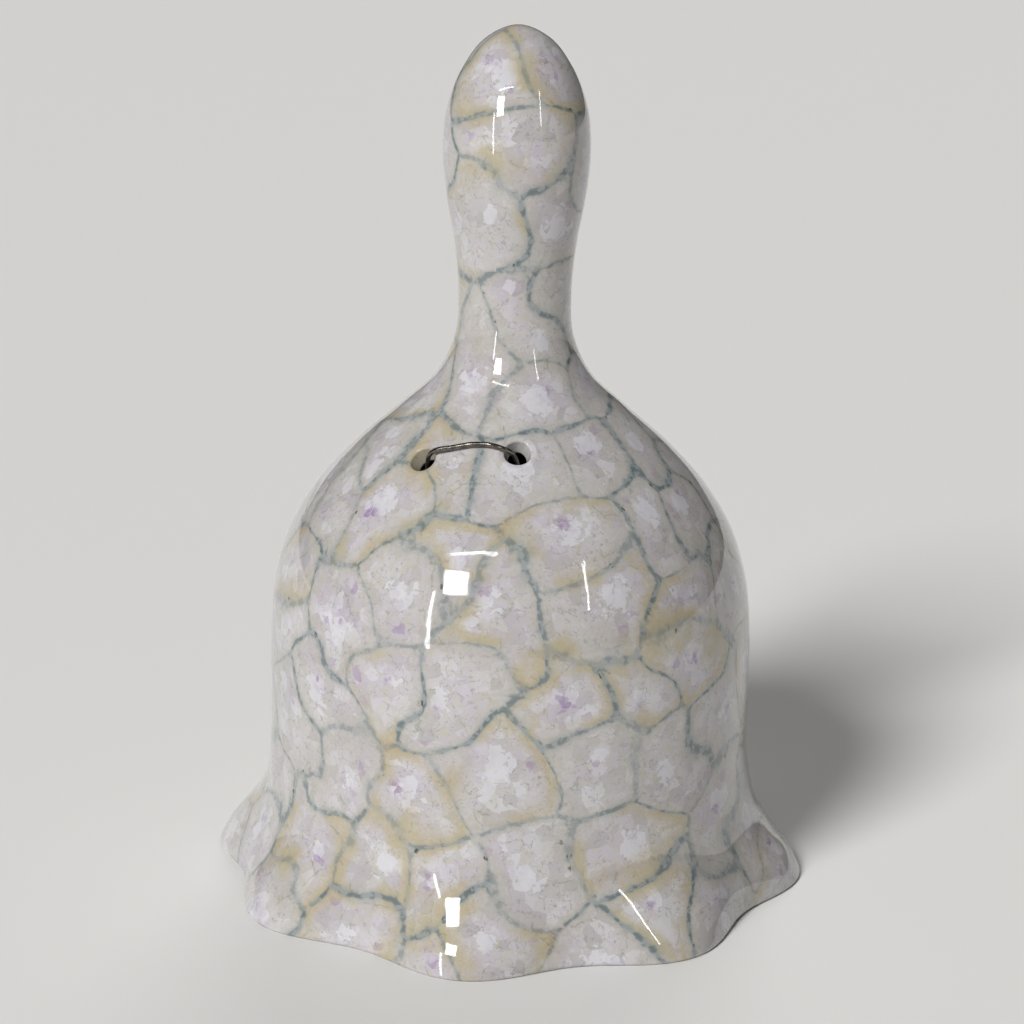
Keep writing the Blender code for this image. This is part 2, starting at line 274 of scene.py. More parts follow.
def cell_centres(shell, spacing, seed):
    """Centres of the cells: staggered rows round the shell, each centre moved at random by up to a third."""
    random = np.random.default_rng(seed)
    centres = []
    for row, distance in enumerate(np.arange(0.4 * spacing, shell.run[-1], 0.88 * spacing)):
        radius = float(shell.section(distance, 0.0)[0])
        count = max(1, int(round(2.0 * math.pi * radius / spacing)))
        shift = random.uniform(-0.33, 0.33, (count, 2))
        azimuth = (np.arange(count) + 0.5 * (row % 2) + shift[:, 0]) * 2.0 * math.pi / count
        centres.append(shell.point(azimuth, distance + shift[:, 1] * spacing, 0.0))
    return np.vstack(centres)


def closest_two(points, places):
    """For each point the numbers of its two closest places, nearest first; worked through in blocks."""
    size = np.sum(places**2, axis=1)
    order = [
        np.argsort(size - 2.0 * block @ places.T, axis=1)[:, :2]
        for block in np.array_split(points, 1 + len(points) // 4000)
    ]
    return np.vstack(order).T


def spot_depth(points, centres, radii):
    """How deep each point lies in the closest round spot: 1 at its centre, 0 at its edge, less outside."""
    depth = np.full(len(points), -FAR)
    for centre, radius in zip(centres, radii):
        depth = np.maximum(depth, 1.0 - np.linalg.norm(points - centre, axis=1) / radius)
    return depth


def spot_fields(points, centres):
    """A pale window in the middle of each cell, and a smaller purple fleck somewhere beside it."""
    random = np.random.default_rng(SEED + 1)
    radii = random.uniform(1.2, 3.0, len(centres))
    shift = random.uniform(-1.0, 1.0, centres.shape) * radii[:, None]
    return {
        "window_depth": spot_depth(points, centres, radii),
        "fleck_depth": spot_depth(points, centres + shift, 0.6 * radii),
    }


def vein_fields(points, centres):
    """For each point: the way to the closest vein, how far it is, and that vein's strength, width and warmth.

    The way goes to the plane half way between the two closest centres, on places moved by slow waves so
    that the veins bend. The warm stain fills the inside edge of about half of the cells.
    """
    directions = np.array([[0.21, 0.33, -0.12], [-0.29, 0.14, 0.26], [0.34, -0.18, 0.31]])
    waves = np.sin(points @ directions + [0.0, 2.1, 4.4])
    moved = points + 2.0 * waves
    first, second = closest_two(moved, centres)
    across = centres[second] - centres[first]
    apart = np.linalg.norm(across, axis=1)[:, None]
    excess = np.sum((moved - centres[second])**2 - (moved - centres[first])**2, axis=1)[:, None]
    way = across / apart * excess / (2.0 * apart)
    traits = np.random.default_rng(SEED).random((TRAIT_ROWS, 3))
    pair = traits[(first + second + first * second) % TRAIT_ROWS]
    warm = traits[(7 * first) % TRAIT_ROWS, 2] > 0.5
    return {
        "to_vein": way,
        "vein_distance": np.linalg.norm(way, axis=1),
        "vein_traits": np.column_stack([0.35 + 0.75 * pair[:, 0], 0.6 + 0.8 * pair[:, 1], 1.0 * warm]),
    }


def rim_rows(shell):
    """Radius and height of the rows round the rim: a rounded edge, the flat foot, a rounded edge."""
    rounding = shell.sizes.rim_rounding / MM
    angle = np.linspace(0.0, 0.5 * math.pi, 7)
    height = rounding * (1.0 - np.sin(angle))
    inner = shell.outline - shell.wall * shell.normals
    flare = slice(0, OUTLINE_ROWS // 4)
    eased = rounding * (1.0 - np.cos(angle))
    outside = np.interp(height, shell.outline[flare, 1], shell.outline[flare, 0]) - eased
    inside = np.interp(height, inner[flare, 1], inner[flare, 0]) + eased
    foot = np.linspace(outside[-1], inside[-1], 5)[1:-1]
    radius = np.concatenate([outside, foot, inside[::-1]])
    return radius, np.concatenate([height, 0.0 * foot, height[::-1]])


def window_rim(middle, half):
    """Row and column of each grid point round a window, anticlockwise as seen from outside."""
    (row, column), (tall, wide) = middle, half
    across = np.arange(column - wide, column + wide)
    upward = np.arange(row - tall, row + tall)
    low, high = row - tall + 0 * across, row + tall + 0 * across
    left, right = column - wide + 0 * upward, column + wide + 0 * upward
    ring_rows = np.concatenate([low, upward, high, upward[::-1] + 1])
    ring_columns = np.concatenate([across, right, across[::-1] + 1, left])
    return ring_rows, ring_columns


def lip_profile(sizes):
    """Radius and depth of the rings from the shoulder over the lip and down the hole, in millimetres."""
    hole, lip, wall = sizes.hole_radius / MM, sizes.lip_radius / MM, sizes.wall / MM
    swell = sizes.lip_swell / MM
    flat = np.array([2.2, 1.7, 1.2, 0.8, 0.4])
    turn = np.linspace(0.0, 0.5 * math.pi, 7)
    outer_radius = np.concatenate([hole + lip + lip * flat, hole + lip * (1.0 - np.sin(turn))])
    pooled = -swell * np.sin(np.pi * (flat + 0.4) / 2.8) ** 2
    outer_depth = np.concatenate([pooled, lip * (1.0 - np.cos(turn))])
    down = np.linspace(lip, wall - lip, 6)[1:-1]
    inner_depth = wall - lip * (1.0 - np.cos(turn[::-1]))
    inner_end = hole - sizes.hole_taper / MM
    inner_radius = inner_end + lip * (1.0 - np.sin(turn[::-1]))
    tapered = np.linspace(hole, inner_end, len(down) + 2)[1:-1]
    radius = np.concatenate([outer_radius, tapered, inner_radius, [inner_end + 2.0 * lip]])
    return radius, np.concatenate([outer_depth, down, inner_depth, [wall]])


def quads(first, second):
    """Faces between two closed rings of point numbers."""
    return np.column_stack([first, np.roll(first, -1), np.roll(second, -1), second])


def shell_mesh(shell):
    """Points, faces and wall depth: two poles, a grid round the section, and a collar at each hole."""
    columns, top = SHELL_COLUMNS, OUTLINE_ROWS - 1
    azimuth = np.linspace(-math.pi, math.pi, columns, endpoint=False)
    rounding = shell.sizes.rim_rounding / MM
    inner = shell.outline - shell.wall * shell.normals
    first_outer = int(np.argmax(shell.outline[:, 1] > rounding * 1.4))
    first_inner = int(np.argmax(inner[:, 1] > rounding * 1.4))
    rim_radius, rim_height = rim_rows(shell)
    outer_rows = np.arange(top - 1, first_outer - 1, -1)
    inner_rows = np.arange(first_inner, top)
    radius = np.concatenate([shell.outline[outer_rows, 0], rim_radius, inner[inner_rows, 0]])
    height = np.concatenate([shell.outline[outer_rows, 1], rim_height, inner[inner_rows, 1]])
    half_way = np.linspace(0.0, 1.0, len(rim_radius))
    depth = np.concatenate([0.0 * outer_rows, half_way, 1.0 + 0.0 * inner_rows])
    grid = shell.place(radius[:, None], height[:, None], azimuth[None, :])
    numbers = 2 + np.arange(grid.shape[0] * columns).reshape(grid.shape[0], columns)
    inner_start = len(outer_rows) + len(rim_radius) - first_inner
    open_cells = np.ones((len(radius) - 1, columns), bool)
    points = [np.array([[0, 0, shell.outline[top, 1]], [0, 0, inner[top, 1]]], float), grid.reshape(-1, 3)]
    depths = [np.array([0.0, 1.0]), np.repeat(depth, columns)]
    faces = []
    count = 2 + grid.shape[0] * columns
    for hole in (LEFT_HOLE, RIGHT_HOLE):
        collar = hole_collar(shell, hole, azimuth)
        outer_ring = numbers[top - 1 - collar["rows"], collar["columns"]]
        inner_ring = numbers[inner_start + collar["rows"], collar["columns"]]
        rings = count + np.arange(collar["points"].shape[0] * len(outer_ring)).reshape(-1, len(outer_ring))
        chain = np.vstack([outer_ring, rings, inner_ring])
        faces += [quads(chain[step], chain[step + 1]) for step in range(len(chain) - 1)]
        points.append(collar["points"].reshape(-1, 3))
        depths.append(np.repeat(collar["depths"], len(outer_ring)))
        count += rings.size
        low, high = collar["rows"].min(), collar["rows"].max()
        left, right = collar["columns"].min(), collar["columns"].max()
        open_cells[top - 1 - high:top - 1 - low, left:right] = False
        open_cells[inner_start + low:inner_start + high, left:right] = False
    rows, cells = np.nonzero(open_cells)
    after = (cells + 1) % columns
    body = np.column_stack([
        numbers[rows, cells], numbers[rows + 1, cells], numbers[rows + 1, after], numbers[rows, after],
    ])
    ring_first, ring_last = numbers[0], numbers[-1]
    caps = [
        np.column_stack([0 * ring_first, ring_first, np.roll(ring_first, -1)]),
        np.column_stack([ring_last, 0 * ring_last + 1, np.roll(ring_last, -1)]),
    ]
    return np.vstack(points), [body, *faces, *caps], np.concatenate(depths)


def hole_collar(shell, hole, azimuth):
    """Rings from a window in the outer grid, over the lip, through the wall, to the same window inside.

    Each ring is a circle on the wall, in millimetres along the azimuth and up the outline; the first
    rings are mixed with the window's own outline.
    """
    centre = shell.distance_at(hole[1])
    around = float(shell.section(centre, 0.0)[0])
    row = int(np.argmin(np.abs(shell.run - centre)))
    column = int(np.argmin(np.abs(azimuth - hole[0])))
    tall = int(round(HOLE_WINDOW_MM / (shell.run[1] - shell.run[0])))
    wide = int(round(HOLE_WINDOW_MM / (around * (azimuth[1] - azimuth[0]))))
    rows, columns = window_rim((row, column), (tall, wide))
    across = (azimuth[columns] - hole[0]) * around
    upward = shell.run[rows] - centre
    angle = np.arctan2(upward, across)
    reach = np.hypot(across, upward)
    radius, depth = lip_profile(shell.sizes)
    mix_in = np.array([0.34, 0.67])[:, None]
    entry = reach * (1.0 - mix_in) + radius[0] * mix_in
    leave = reach * mix_in + radius[-1] * (1.0 - mix_in)
    circles = radius[:, None] + 0.0 * angle
    spread = np.vstack([entry, circles, leave])
    wall = shell.wall
    depths = np.concatenate([[0.0, 0.0], depth, [wall, wall]])
    points = shell.point(
        hole[0] + spread * np.cos(angle) / around, centre + spread * np.sin(angle), depths[:, None],
    )
    return {"rows": rows, "columns": columns, "points": points, "depths": np.clip(depths / wall, 0.0, 1.0)}


def carried_frames(path):
    """Two directions square to a path at each point, turned back so that they don't spin along it."""
    tangent = np.gradient(path, axis=0)
    tangent /= np.linalg.norm(tangent, axis=1)[:, None]
    choices = np.array([[0.83, 0.23, 0.51], [0.31, 0.87, 0.38], [-0.42, 0.36, 0.83], [0.62, -0.62, 0.48]])
    guide = choices[np.argmin(np.abs(tangent @ choices.T).max(axis=0))]
    side = np.cross(tangent, guide)
    side /= np.linalg.norm(side, axis=1)[:, None]
    upper = np.cross(tangent, side)
    cross = np.cross(tangent[:-1], tangent[1:])
    cosine = np.sum(tangent[:-1] * tangent[1:], axis=1)[:, None]
    lean = np.sum(cross * side[:-1], axis=1)[:, None]
    moved = side[:-1] * cosine + np.cross(cross, side[:-1]) + cross * lean / (1.0 + cosine)
    slip = np.arctan2(np.sum(moved * upper[1:], axis=1), np.sum(moved * side[1:], axis=1))
    turn = np.concatenate([[0.0], np.cumsum(slip)])[:, None]
    return tangent, side * np.cos(turn) + upper * np.sin(turn), upper * np.cos(turn) - side * np.sin(turn)


def wire_surface(path, radius, sides=20):
    """A round wire along a path, its cut ends eased over; also each point's place on the unrolled wire."""
    tangent, side, upper = carried_frames(path)
    run = run_along(path)
    ease = np.array([0.55, 0.85, 0.97])
    back = np.array([0.0, 0.035, 0.12])
    start = path[0] + tangent[0] * back[:, None]
    finish = path[-1] - tangent[-1] * back[::-1, None]
    middle = (run > back[-1] * 1.5) & (run < run[-1] - back[-1] * 1.5)
    centres = np.vstack([start, path[middle], finish])
    sides_at = np.vstack([side[[0] * 3], side[middle], side[[-1] * 3]])
    upper_at = np.vstack([upper[[0] * 3], upper[middle], upper[[-1] * 3]])
    size = radius * np.concatenate([ease, np.ones(middle.sum()), ease[::-1]])
    length = np.concatenate([back, run[middle], run[-1] - back[::-1]])
    angle = np.linspace(0.0, 2.0 * math.pi, sides, endpoint=False)
    around = angle[None, :, None]
    across = np.cos(around) * sides_at[:, None] + np.sin(around) * upper_at[:, None]
    rings = centres[:, None] + size[:, None, None] * across
    flat = np.stack([
        radius * np.cos(angle)[None] + 0.0 * length[:, None],
        radius * np.sin(angle)[None] + 0.0 * length[:, None],
        length[:, None] + 0.0 * angle[None],
    ], axis=-1)
    numbers = 2 + np.arange(rings.shape[0] * sides).reshape(-1, sides)
    faces = [quads(numbers[step], numbers[step + 1]) for step in range(len(numbers) - 1)]
    first, last = numbers[0], numbers[-1]
    caps = [
        np.column_stack([0 * first, np.roll(first, -1), first]),
        np.column_stack([0 * last + 1, last, np.roll(last, -1)]),
    ]
    points = np.vstack([path[:1], path[-1:], rings.reshape(-1, 3)])
    unrolled = np.vstack([[[0.0, 0.0, 0.0]], [[0.0, 0.0, run[-1]]], flat.reshape(-1, 3)])
    return points, [*faces, *caps], unrolled


def turned_ring(radius, height, columns):
    """A closed section of radii and heights turned round the axis; the section runs down its outer side."""
    azimuth = np.linspace(0.0, 2.0 * math.pi, columns, endpoint=False)
    grid = turned(radius[:, None], height[:, None], azimuth)
    numbers = np.arange(grid.shape[0] * columns).reshape(-1, columns)
    below = np.roll(numbers, -1, axis=0)
    faces = np.stack([
        numbers, below, np.roll(below, -1, axis=1), np.roll(numbers, -1, axis=1),
    ], axis=-1).reshape(-1, 4)
    return grid.reshape(-1, 3), [faces]


def add_surface(name, points, faces, material, attributes=None):
    """A smooth-shaded mesh from points in millimetres, with values stored on its points."""
    mesh = bpy.data.meshes.new(name)
    mesh.from_pydata((points * MM).tolist(), [], [face for block in faces for face in block.tolist()])
    for label, values in (attributes or {}).items():
        kind = "FLOAT" if values.ndim == 1 else "FLOAT_VECTOR"
        layer = mesh.attributes.new(label, kind, "POINT")
        layer.data.foreach_set("value" if kind == "FLOAT" else "vector", values.astype(np.float32).ravel())
    mesh.shade_smooth()
    mesh.materials.append(material)
    item = bpy.data.objects.new(name, mesh)
    bpy.context.scene.collection.objects.link(item)
    return item


def stand_for(item, node, body):
    """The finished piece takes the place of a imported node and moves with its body."""
    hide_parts(node)
    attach(item, body)


# --- Shaders ----------------------------------------------------------------------------------------


class Wiring:
    """Adds nodes to a tree and links them; a value can be a number, a colour or another node's output."""

    def __init__(self, tree):
        self.tree = tree

    def node(self, kind, inputs=None, **settings):
        node = self.tree.nodes.new(kind)
        for label, value in settings.items():
            setattr(node, label, value)
        for label, value in (inputs or {}).items():
            self.feed(node.inputs[label], value)
        return node

    def feed(self, socket, value):
        if isinstance(value, bpy.types.NodeSocket):
            self.tree.links.new(value, socket)
        elif socket.type == "RGBA":
            socket.default_value = (*value, 1.0)
        else:
            socket.default_value = value

    def maths(self, operation, first, second=0.0, third=0.0, clamp=False):
        inputs = {0: first, 1: second, 2: third}
        return self.node("ShaderNodeMath", inputs, operation=operation, use_clamp=clamp).outputs[0]

    def product(self, *values):
        """All the values multiplied together."""
        total = values[0]
        for value in values[1:]:
            total = self.maths("MULTIPLY", total, value)
        return total

    def vector(self, operation, first, second=(0.0, 0.0, 0.0)):
        node = self.node("ShaderNodeVectorMath", {0: first, 1: second}, operation=operation)
        return node.outputs["Value" if operation in ("DISTANCE", "LENGTH", "DOT_PRODUCT") else "Vector"]

    def scaled(self, vector, factor):
        inputs = {0: vector, "Scale": factor}
        return self.node("ShaderNodeVectorMath", inputs, operation="SCALE").outputs["Vector"]

    def noise(self, position, scale, detail=2.0, roughness=0.5):
        inputs = {"Vector": position, "Scale": scale, "Detail": detail, "Roughness": roughness}
        return self.node("ShaderNodeTexNoise", inputs)

    def cells(self, position, scale, feature="F1", randomness=1.0):
        inputs = {"Vector": position, "Scale": scale, "Randomness": randomness}
        return self.node("ShaderNodeTexVoronoi", inputs, feature=feature)

    def rise(self, value, low, high, start=0.0, finish=1.0):
        """A smooth step from start to finish as the value goes from low to high."""
        inputs = {"Value": value, "From Min": low, "From Max": high, "To Min": start, "To Max": finish}
        return self.node("ShaderNodeMapRange", inputs, interpolation_type="SMOOTHSTEP").outputs["Result"]

    def blend(self, share, under, over):
        node = self.node("ShaderNodeMix", data_type="RGBA", clamp_factor=True)
        self.feed(node.inputs[0], share)
        self.feed(node.inputs[6], under)
        self.feed(node.inputs[7], over)
        return node.outputs[2]


def new_group(name, inputs, outputs):
    """An empty node group with named sockets, its wiring, and its input and output nodes."""
    group = bpy.data.node_groups.new(name, "ShaderNodeTree")
    for label, kind, default in inputs:
        socket = group.interface.new_socket(label, in_out="INPUT", socket_type=kind)
        if default is not None:
            socket.default_value = default
    for label, kind in outputs:
        group.interface.new_socket(label, in_out="OUTPUT", socket_type=kind)
    wiring = Wiring(group)
    return group, wiring, group.nodes.new("NodeGroupInput").outputs, group.nodes.new("NodeGroupOutput").inputs


def crackle_glaze_group(look):
    """The whole glaze: pale cells, cream and ochre stains, lilac bloom, pale windows, flecks, veins, and
    painted shade beside the veins.

    Edge is the distance to the closest vein in millimetres; Strength, Width and Warmth belong to that vein.
    """
    group, wiring, given, result = new_group(
        "crackle glaze",
        [("Position", "NodeSocketVector", None), ("Edge", "NodeSocketFloat", 5.0),
         ("Strength", "NodeSocketFloat", 1.0), ("Width", "NodeSocketFloat", 1.2),
         ("Warmth", "NodeSocketFloat", 0.0), ("Window", "NodeSocketFloat", -9.0),
         ("Fleck", "NodeSocketFloat", -9.0)],
        [("Color", "NodeSocketColor"), ("Roughness", "NodeSocketFloat"), ("Height", "NodeSocketFloat")],
    )
    place, edge, strength = given["Position"], given["Edge"], given["Strength"]
    times, rise = wiring.product, wiring.rise

    # Slow and quick variation of the pale ground
    cloud = wiring.noise(place, 0.10, 3.0).outputs["Fac"]
    grain = wiring.noise(place, 1.3, 6.0, 0.7).outputs["Fac"]
    curl = wiring.vector("ADD", place, wiring.scaled(wiring.noise(place, 0.5, 2.0).outputs["Color"], 2.5))
    blotch = wiring.noise(curl, 0.55, 4.0, 0.65).outputs["Fac"]
    colour = wiring.blend(rise(cloud, 0.40, 0.66, 0.0, 0.7), look.body, look.lilac)
    colour = wiring.blend(rise(blotch, 0.50, 0.64, 0.0, 0.8), colour, look.cream)
    colour = wiring.blend(rise(blotch, 0.44, 0.32, 0.0, 0.42), colour, look.white)
    colour = wiring.blend(rise(grain, 0.52, 0.64, 0.0, 0.5), colour, look.lilac)
    colour = wiring.blend(rise(grain, 0.48, 0.36, 0.0, 0.6), colour, look.cream)

    # Overlapping angular shards, lighter or darker, fine grey folds between them, and painted shade beside
    # the veins
    shaken = wiring.vector("ADD", place, wiring.scaled(wiring.noise(place, 0.7, 2.0).outputs["Color"], 1.4))
    facet = wiring.node("ShaderNodeSeparateColor", {0: wiring.cells(shaken, 0.36).outputs["Color"]}).outputs
    colour = wiring.blend(rise(facet[0], 0.45, 1.0, 0.0, 0.5), colour, look.white)
    colour = wiring.blend(rise(facet[1], 0.45, 1.0, 0.0, 0.4), colour, look.shade)
    fold = wiring.noise(curl, 0.33, 3.0, 0.6).outputs["Fac"]
    fold = wiring.maths("ABSOLUTE", wiring.maths("SUBTRACT", fold, 0.5))
    colour = wiring.blend(times(rise(fold, 0.020, 0.004), rise(grain, 0.4, 0.55), 0.8), colour, look.shade)
    # Painted shade: the ground greys towards each vein, so each cell looks pillowed and lighter in its middle
    colour = wiring.blend(times(rise(edge, 3.2, 0.2), rise(grain, 0.62, 0.40), 0.5), colour, look.shade)

    # Bluish white windows and angular purple flecks, their edges broken by small cells and noise
    shard = wiring.node("ShaderNodeSeparateColor", {0: wiring.cells(shaken, 0.55).outputs["Color"]}).outputs
    ragged = wiring.maths("MULTIPLY_ADD", shard[0], 0.9, -0.45)
    frayed = wiring.maths("MULTIPLY_ADD", blotch, 1.4, -0.7)
    depth = wiring.maths("ADD", given["Window"], wiring.maths("ADD", ragged, frayed))
    window = times(rise(depth, 0.02, 0.12), rise(edge, 0.8, 1.8))
    colour = wiring.blend(times(window, 0.7), colour, look.white)
    chip = wiring.cells(shaken, 0.45)
    chip_edge = wiring.cells(shaken, 0.45, "DISTANCE_TO_EDGE").outputs["Distance"]
    chip_pick = wiring.node("ShaderNodeSeparateColor", {0: chip.outputs["Color"]}).outputs[1]
    inside = rise(wiring.maths("ADD", given["Fleck"], frayed), -0.15, 0.15)
    chips = times(rise(chip_pick, 0.34, 0.62), rise(chip_edge, 0.01, 0.05), inside, rise(grain, 0.30, 0.5))
    colour = wiring.blend(times(chips, 0.85), colour, look.purple)
    around = rise(wiring.maths("ADD", given["Fleck"], frayed), -1.3, 0.2, 0.0, 0.5)
    colour = wiring.blend(times(around, rise(blotch, 0.42, 0.56)), colour, look.lilac)
    stray = times(rise(chip_pick, 0.93, 0.94), rise(chip_edge, 0.05, 0.12), rise(cloud, 0.45, 0.6), 0.5)
    colour = wiring.blend(stray, colour, look.purple)

    # Grey cream beside every vein; a wide streaked stain on its warm side, with ochre and rust against it
    streaks = wiring.noise(curl, 1.6, 3.0, 0.7).outputs["Fac"]
    patch = wiring.noise(place, 0.12, 2.0).outputs["Fac"]
    colour = wiring.blend(times(rise(edge, 3.6, 0.6, 0.0, 0.6), rise(streaks, 0.3, 0.6)), colour, look.cream)
    spread = wiring.maths("ADD", edge, wiring.maths("MULTIPLY_ADD", streaks, 5.0, -1.6))
    stain = times(rise(spread, 5.6, 0.8), given["Warmth"], rise(patch, 0.42, 0.58))
    colour = wiring.blend(times(stain, 0.75), colour, look.ochre)
    rust = times(rise(spread, 2.2, 1.2), rise(patch, 0.60, 0.68), rise(streaks, 0.42, 0.6))
    colour = wiring.blend(times(rust, 0.6), colour, look.rust)

    # Faint hair lines between the veins
    hair = wiring.cells(shaken, 0.13, "DISTANCE_TO_EDGE").outputs["Distance"]
    hairs = times(rise(hair, 0.020, 0.006), rise(blotch, 0.48, 0.60), 0.3)
    colour = wiring.blend(hairs, colour, look.vein_edge)

    # The veins: a pale blue grey middle between two thin darker lines, sunk in a soft haze
    swell = wiring.noise(place, 0.4, 2.0).outputs["Fac"]
    half = times(given["Width"], rise(swell, 0.3, 0.7, 0.20, 0.40))
    ratio = wiring.maths("DIVIDE", edge, half)
    colour = wiring.blend(times(rise(ratio, 4.5, 0.8), 0.5, strength), colour, look.vein)
    broken = rise(wiring.noise(place, 0.7, 3.0).outputs["Fac"], 0.40, 0.60)
    line = times(rise(ratio, 0.10, 0.95), rise(ratio, 2.3, 1.0), rise(broken, 0.0, 1.0, 0.15, 1.0))
    colour = wiring.blend(times(rise(ratio, 1.6, 0.5), 0.8, strength), colour, look.vein)
    colour = wiring.blend(times(line, strength, 0.62), colour, look.vein_edge)
    heart = times(rise(ratio, 1.1, 0.2), rise(broken, 0.45, 0.95), rise(strength, 0.5, 1.3, 0.3, 0.95))
    colour = wiring.blend(heart, colour, look.vein_edge)

    # Burnt specks along the vein's sides
    speck = wiring.cells(shaken, 0.42)
    speck_pick = wiring.node("ShaderNodeSeparateColor", {0: speck.outputs["Color"]}).outputs[2]
    near = times(rise(ratio, 3.2, 1.6), rise(ratio, 0.4, 1.0))
    dots = times(rise(speck.outputs["Distance"], 0.26, 0.14), near, rise(speck_pick, 0.80, 0.83))
    colour = wiring.blend(times(dots, 0.85), colour, look.burnt)

    wiring.feed(result["Color"], colour)
    wiring.feed(result["Roughness"], rise(grain, 0.2, 0.8, 0.03, 0.08))
    ripple = wiring.noise(place, 0.13, 2.0).outputs["Fac"]
    fine = wiring.noise(place, 0.9, 2.0).outputs["Fac"]
    wiring.feed(result["Height"], wiring.maths("ADD", ripple, wiring.maths("MULTIPLY", fine, 0.03)))
    return group


def new_material(name):
    material = bpy.data.materials.new(name)
    material.use_nodes = True
    wiring = Wiring(material.node_tree)
    return material, wiring, material.node_tree.nodes["Principled BSDF"]


def position_in_mm(wiring):
    return wiring.scaled(wiring.node("ShaderNodeTexCoord").outputs["Object"], 1.0 / MM)


def glaze_material(name, look, group):
    """Clear glossy glaze over the crackled colours; the point attribute wall_depth turns it plain inside.

    The way to the vein is shaken a little by noise, and is never less than the stored distance allows,
    because half way between two veins the way turns round within one face.
    """
    material, wiring, shader = new_material(name)
    crackle = wiring.node("ShaderNodeGroup", node_tree=group)
    place = position_in_mm(wiring)
    wiring.feed(crackle.inputs["Position"], place)
    way = wiring.node("ShaderNodeAttribute", attribute_name="to_vein").outputs["Vector"]
    shake = wiring.vector("SUBTRACT", wiring.noise(place, 0.5, 3.0).outputs["Color"], (0.5, 0.5, 0.5))
    reach = wiring.vector("LENGTH", wiring.vector("ADD", way, wiring.scaled(shake, 1.0)))
    stored = wiring.node("ShaderNodeAttribute", attribute_name="vein_distance").outputs["Fac"]
    edge = wiring.maths("MAXIMUM", reach, wiring.maths("SUBTRACT", stored, 1.3))
    wiring.feed(crackle.inputs["Edge"], edge)
    traits = wiring.node("ShaderNodeAttribute", attribute_name="vein_traits").outputs["Vector"]
    traits = wiring.node("ShaderNodeSeparateXYZ", {0: traits}).outputs
    for label, trait in zip(("Strength", "Width", "Warmth"), traits):
        wiring.feed(crackle.inputs[label], trait)
    for label in ("Window", "Fleck"):
        spot = wiring.node("ShaderNodeAttribute", attribute_name=label.lower() + "_depth").outputs["Fac"]
        wiring.feed(crackle.inputs[label], spot)
    depth = wiring.node("ShaderNodeAttribute", attribute_name="wall_depth").outputs["Fac"]
    streak = wiring.noise(place, 0.35, 4.0).outputs["Fac"]
    plain = wiring.blend(wiring.rise(streak, 0.4, 0.7, 0.0, 0.5), look.inside, look.cream)
    inward = wiring.rise(depth, 0.55, 0.95)
    colour = wiring.blend(inward, crackle.outputs["Color"], plain)
    height = wiring.node("ShaderNodeSeparateXYZ", {0: place}).outputs["Z"]
    foot = wiring.rise(wiring.maths("ADD", height, wiring.maths("MULTIPLY", streak, 0.16)), 0.2, 0.12)
    colour = wiring.blend(foot, colour, look.cream)
    wiring.feed(shader.inputs["Base Color"], colour)
    rough = wiring.maths("ADD", crackle.outputs["Roughness"], wiring.maths("MULTIPLY", foot, 0.6))
    wiring.feed(shader.inputs["Roughness"], rough)
    bare_coat = wiring.maths("MULTIPLY", foot, 0.6)
    wiring.feed(shader.inputs["Coat Weight"], wiring.maths("SUBTRACT", 0.6, bare_coat))
    shader.inputs["Coat Roughness"].default_value = 0.02
    shader.inputs["IOR"].default_value = 1.52
    relief = {"Strength": 0.35, "Distance": 0.0003, "Height": crackle.outputs["Height"]}
    bump = wiring.node("ShaderNodeBump", relief)
    wiring.feed(shader.inputs["Normal"], bump.outputs["Normal"])
    return material


def steel_material(name, shade, darkening):
    """Drawn steel: lines along the wire from noise stretched in its unrolled space, and dull patches."""
    material, wiring, shader = new_material(name)
    place = wiring.node("ShaderNodeAttribute", attribute_name="wire_space").outputs["Vector"]
    stretched = wiring.vector("MULTIPLY", place, (9.0, 9.0, 0.35))
    lines = wiring.noise(stretched, 1.0, 3.0, 0.6).outputs["Fac"]
    dull = wiring.noise(place, 0.7, 3.0).outputs["Fac"]
    dark = tuple(value * darkening for value in shade)
    colour = wiring.blend(wiring.rise(dull, 0.42, 0.68, 0.0, 0.8), shade, dark)
    wiring.feed(shader.inputs["Base Color"], colour)
    wiring.feed(shader.inputs["Roughness"], wiring.rise(dull, 0.3, 0.7, 0.16, 0.34))
    shader.inputs["Metallic"].default_value = 1.0
    bump = wiring.node("ShaderNodeBump", {"Strength": 0.15, "Distance": 0.00003, "Height": lines})
    wiring.feed(shader.inputs["Normal"], bump.outputs["Normal"])
    return material


def floor_material(look):
    """A plain pale matt floor."""
    material, _, shader = new_material("plain floor")
    shader.inputs["Base Color"].default_value = (*look.floor, 1.0)
    shader.inputs["Roughness"].default_value = 0.8
    shader.inputs["Specular IOR Level"].default_value = 0.1
    return material


# --- Wire routes ------------------------------------------------------------------------------------


def ring_arc(centre, radius, across, start, sweep, count=40):
    """An arc round a centre in the upright plane that holds the direction across; angles in degrees."""
    angle = np.radians(start + sweep * np.linspace(0.0, 1.0, count))[:, None]
    climb = np.sin(angle) * [0.0, 0.0, 1.0]
    return np.asarray(centre) + radius * (np.cos(angle) * np.asarray(across) + climb)


def twisted_strand(top, end, spread, start, turns, all_turns):
    """One wire of the pair: a helix round the straight line from top to end."""
    along = (end - top) / np.linalg.norm(end - top)
    side = np.cross(along, [0.0, 0.0, 1.0])
    side /= np.linalg.norm(side)
    upper = np.cross(side, along)
    step = np.linspace(0.0, turns, int(turns * 12) + 1)[:, None]
    angle = start + 2.0 * math.pi * step
    return top + (end - top) * step / all_turns + spread * (np.cos(angle) * side + np.sin(angle) * upper)


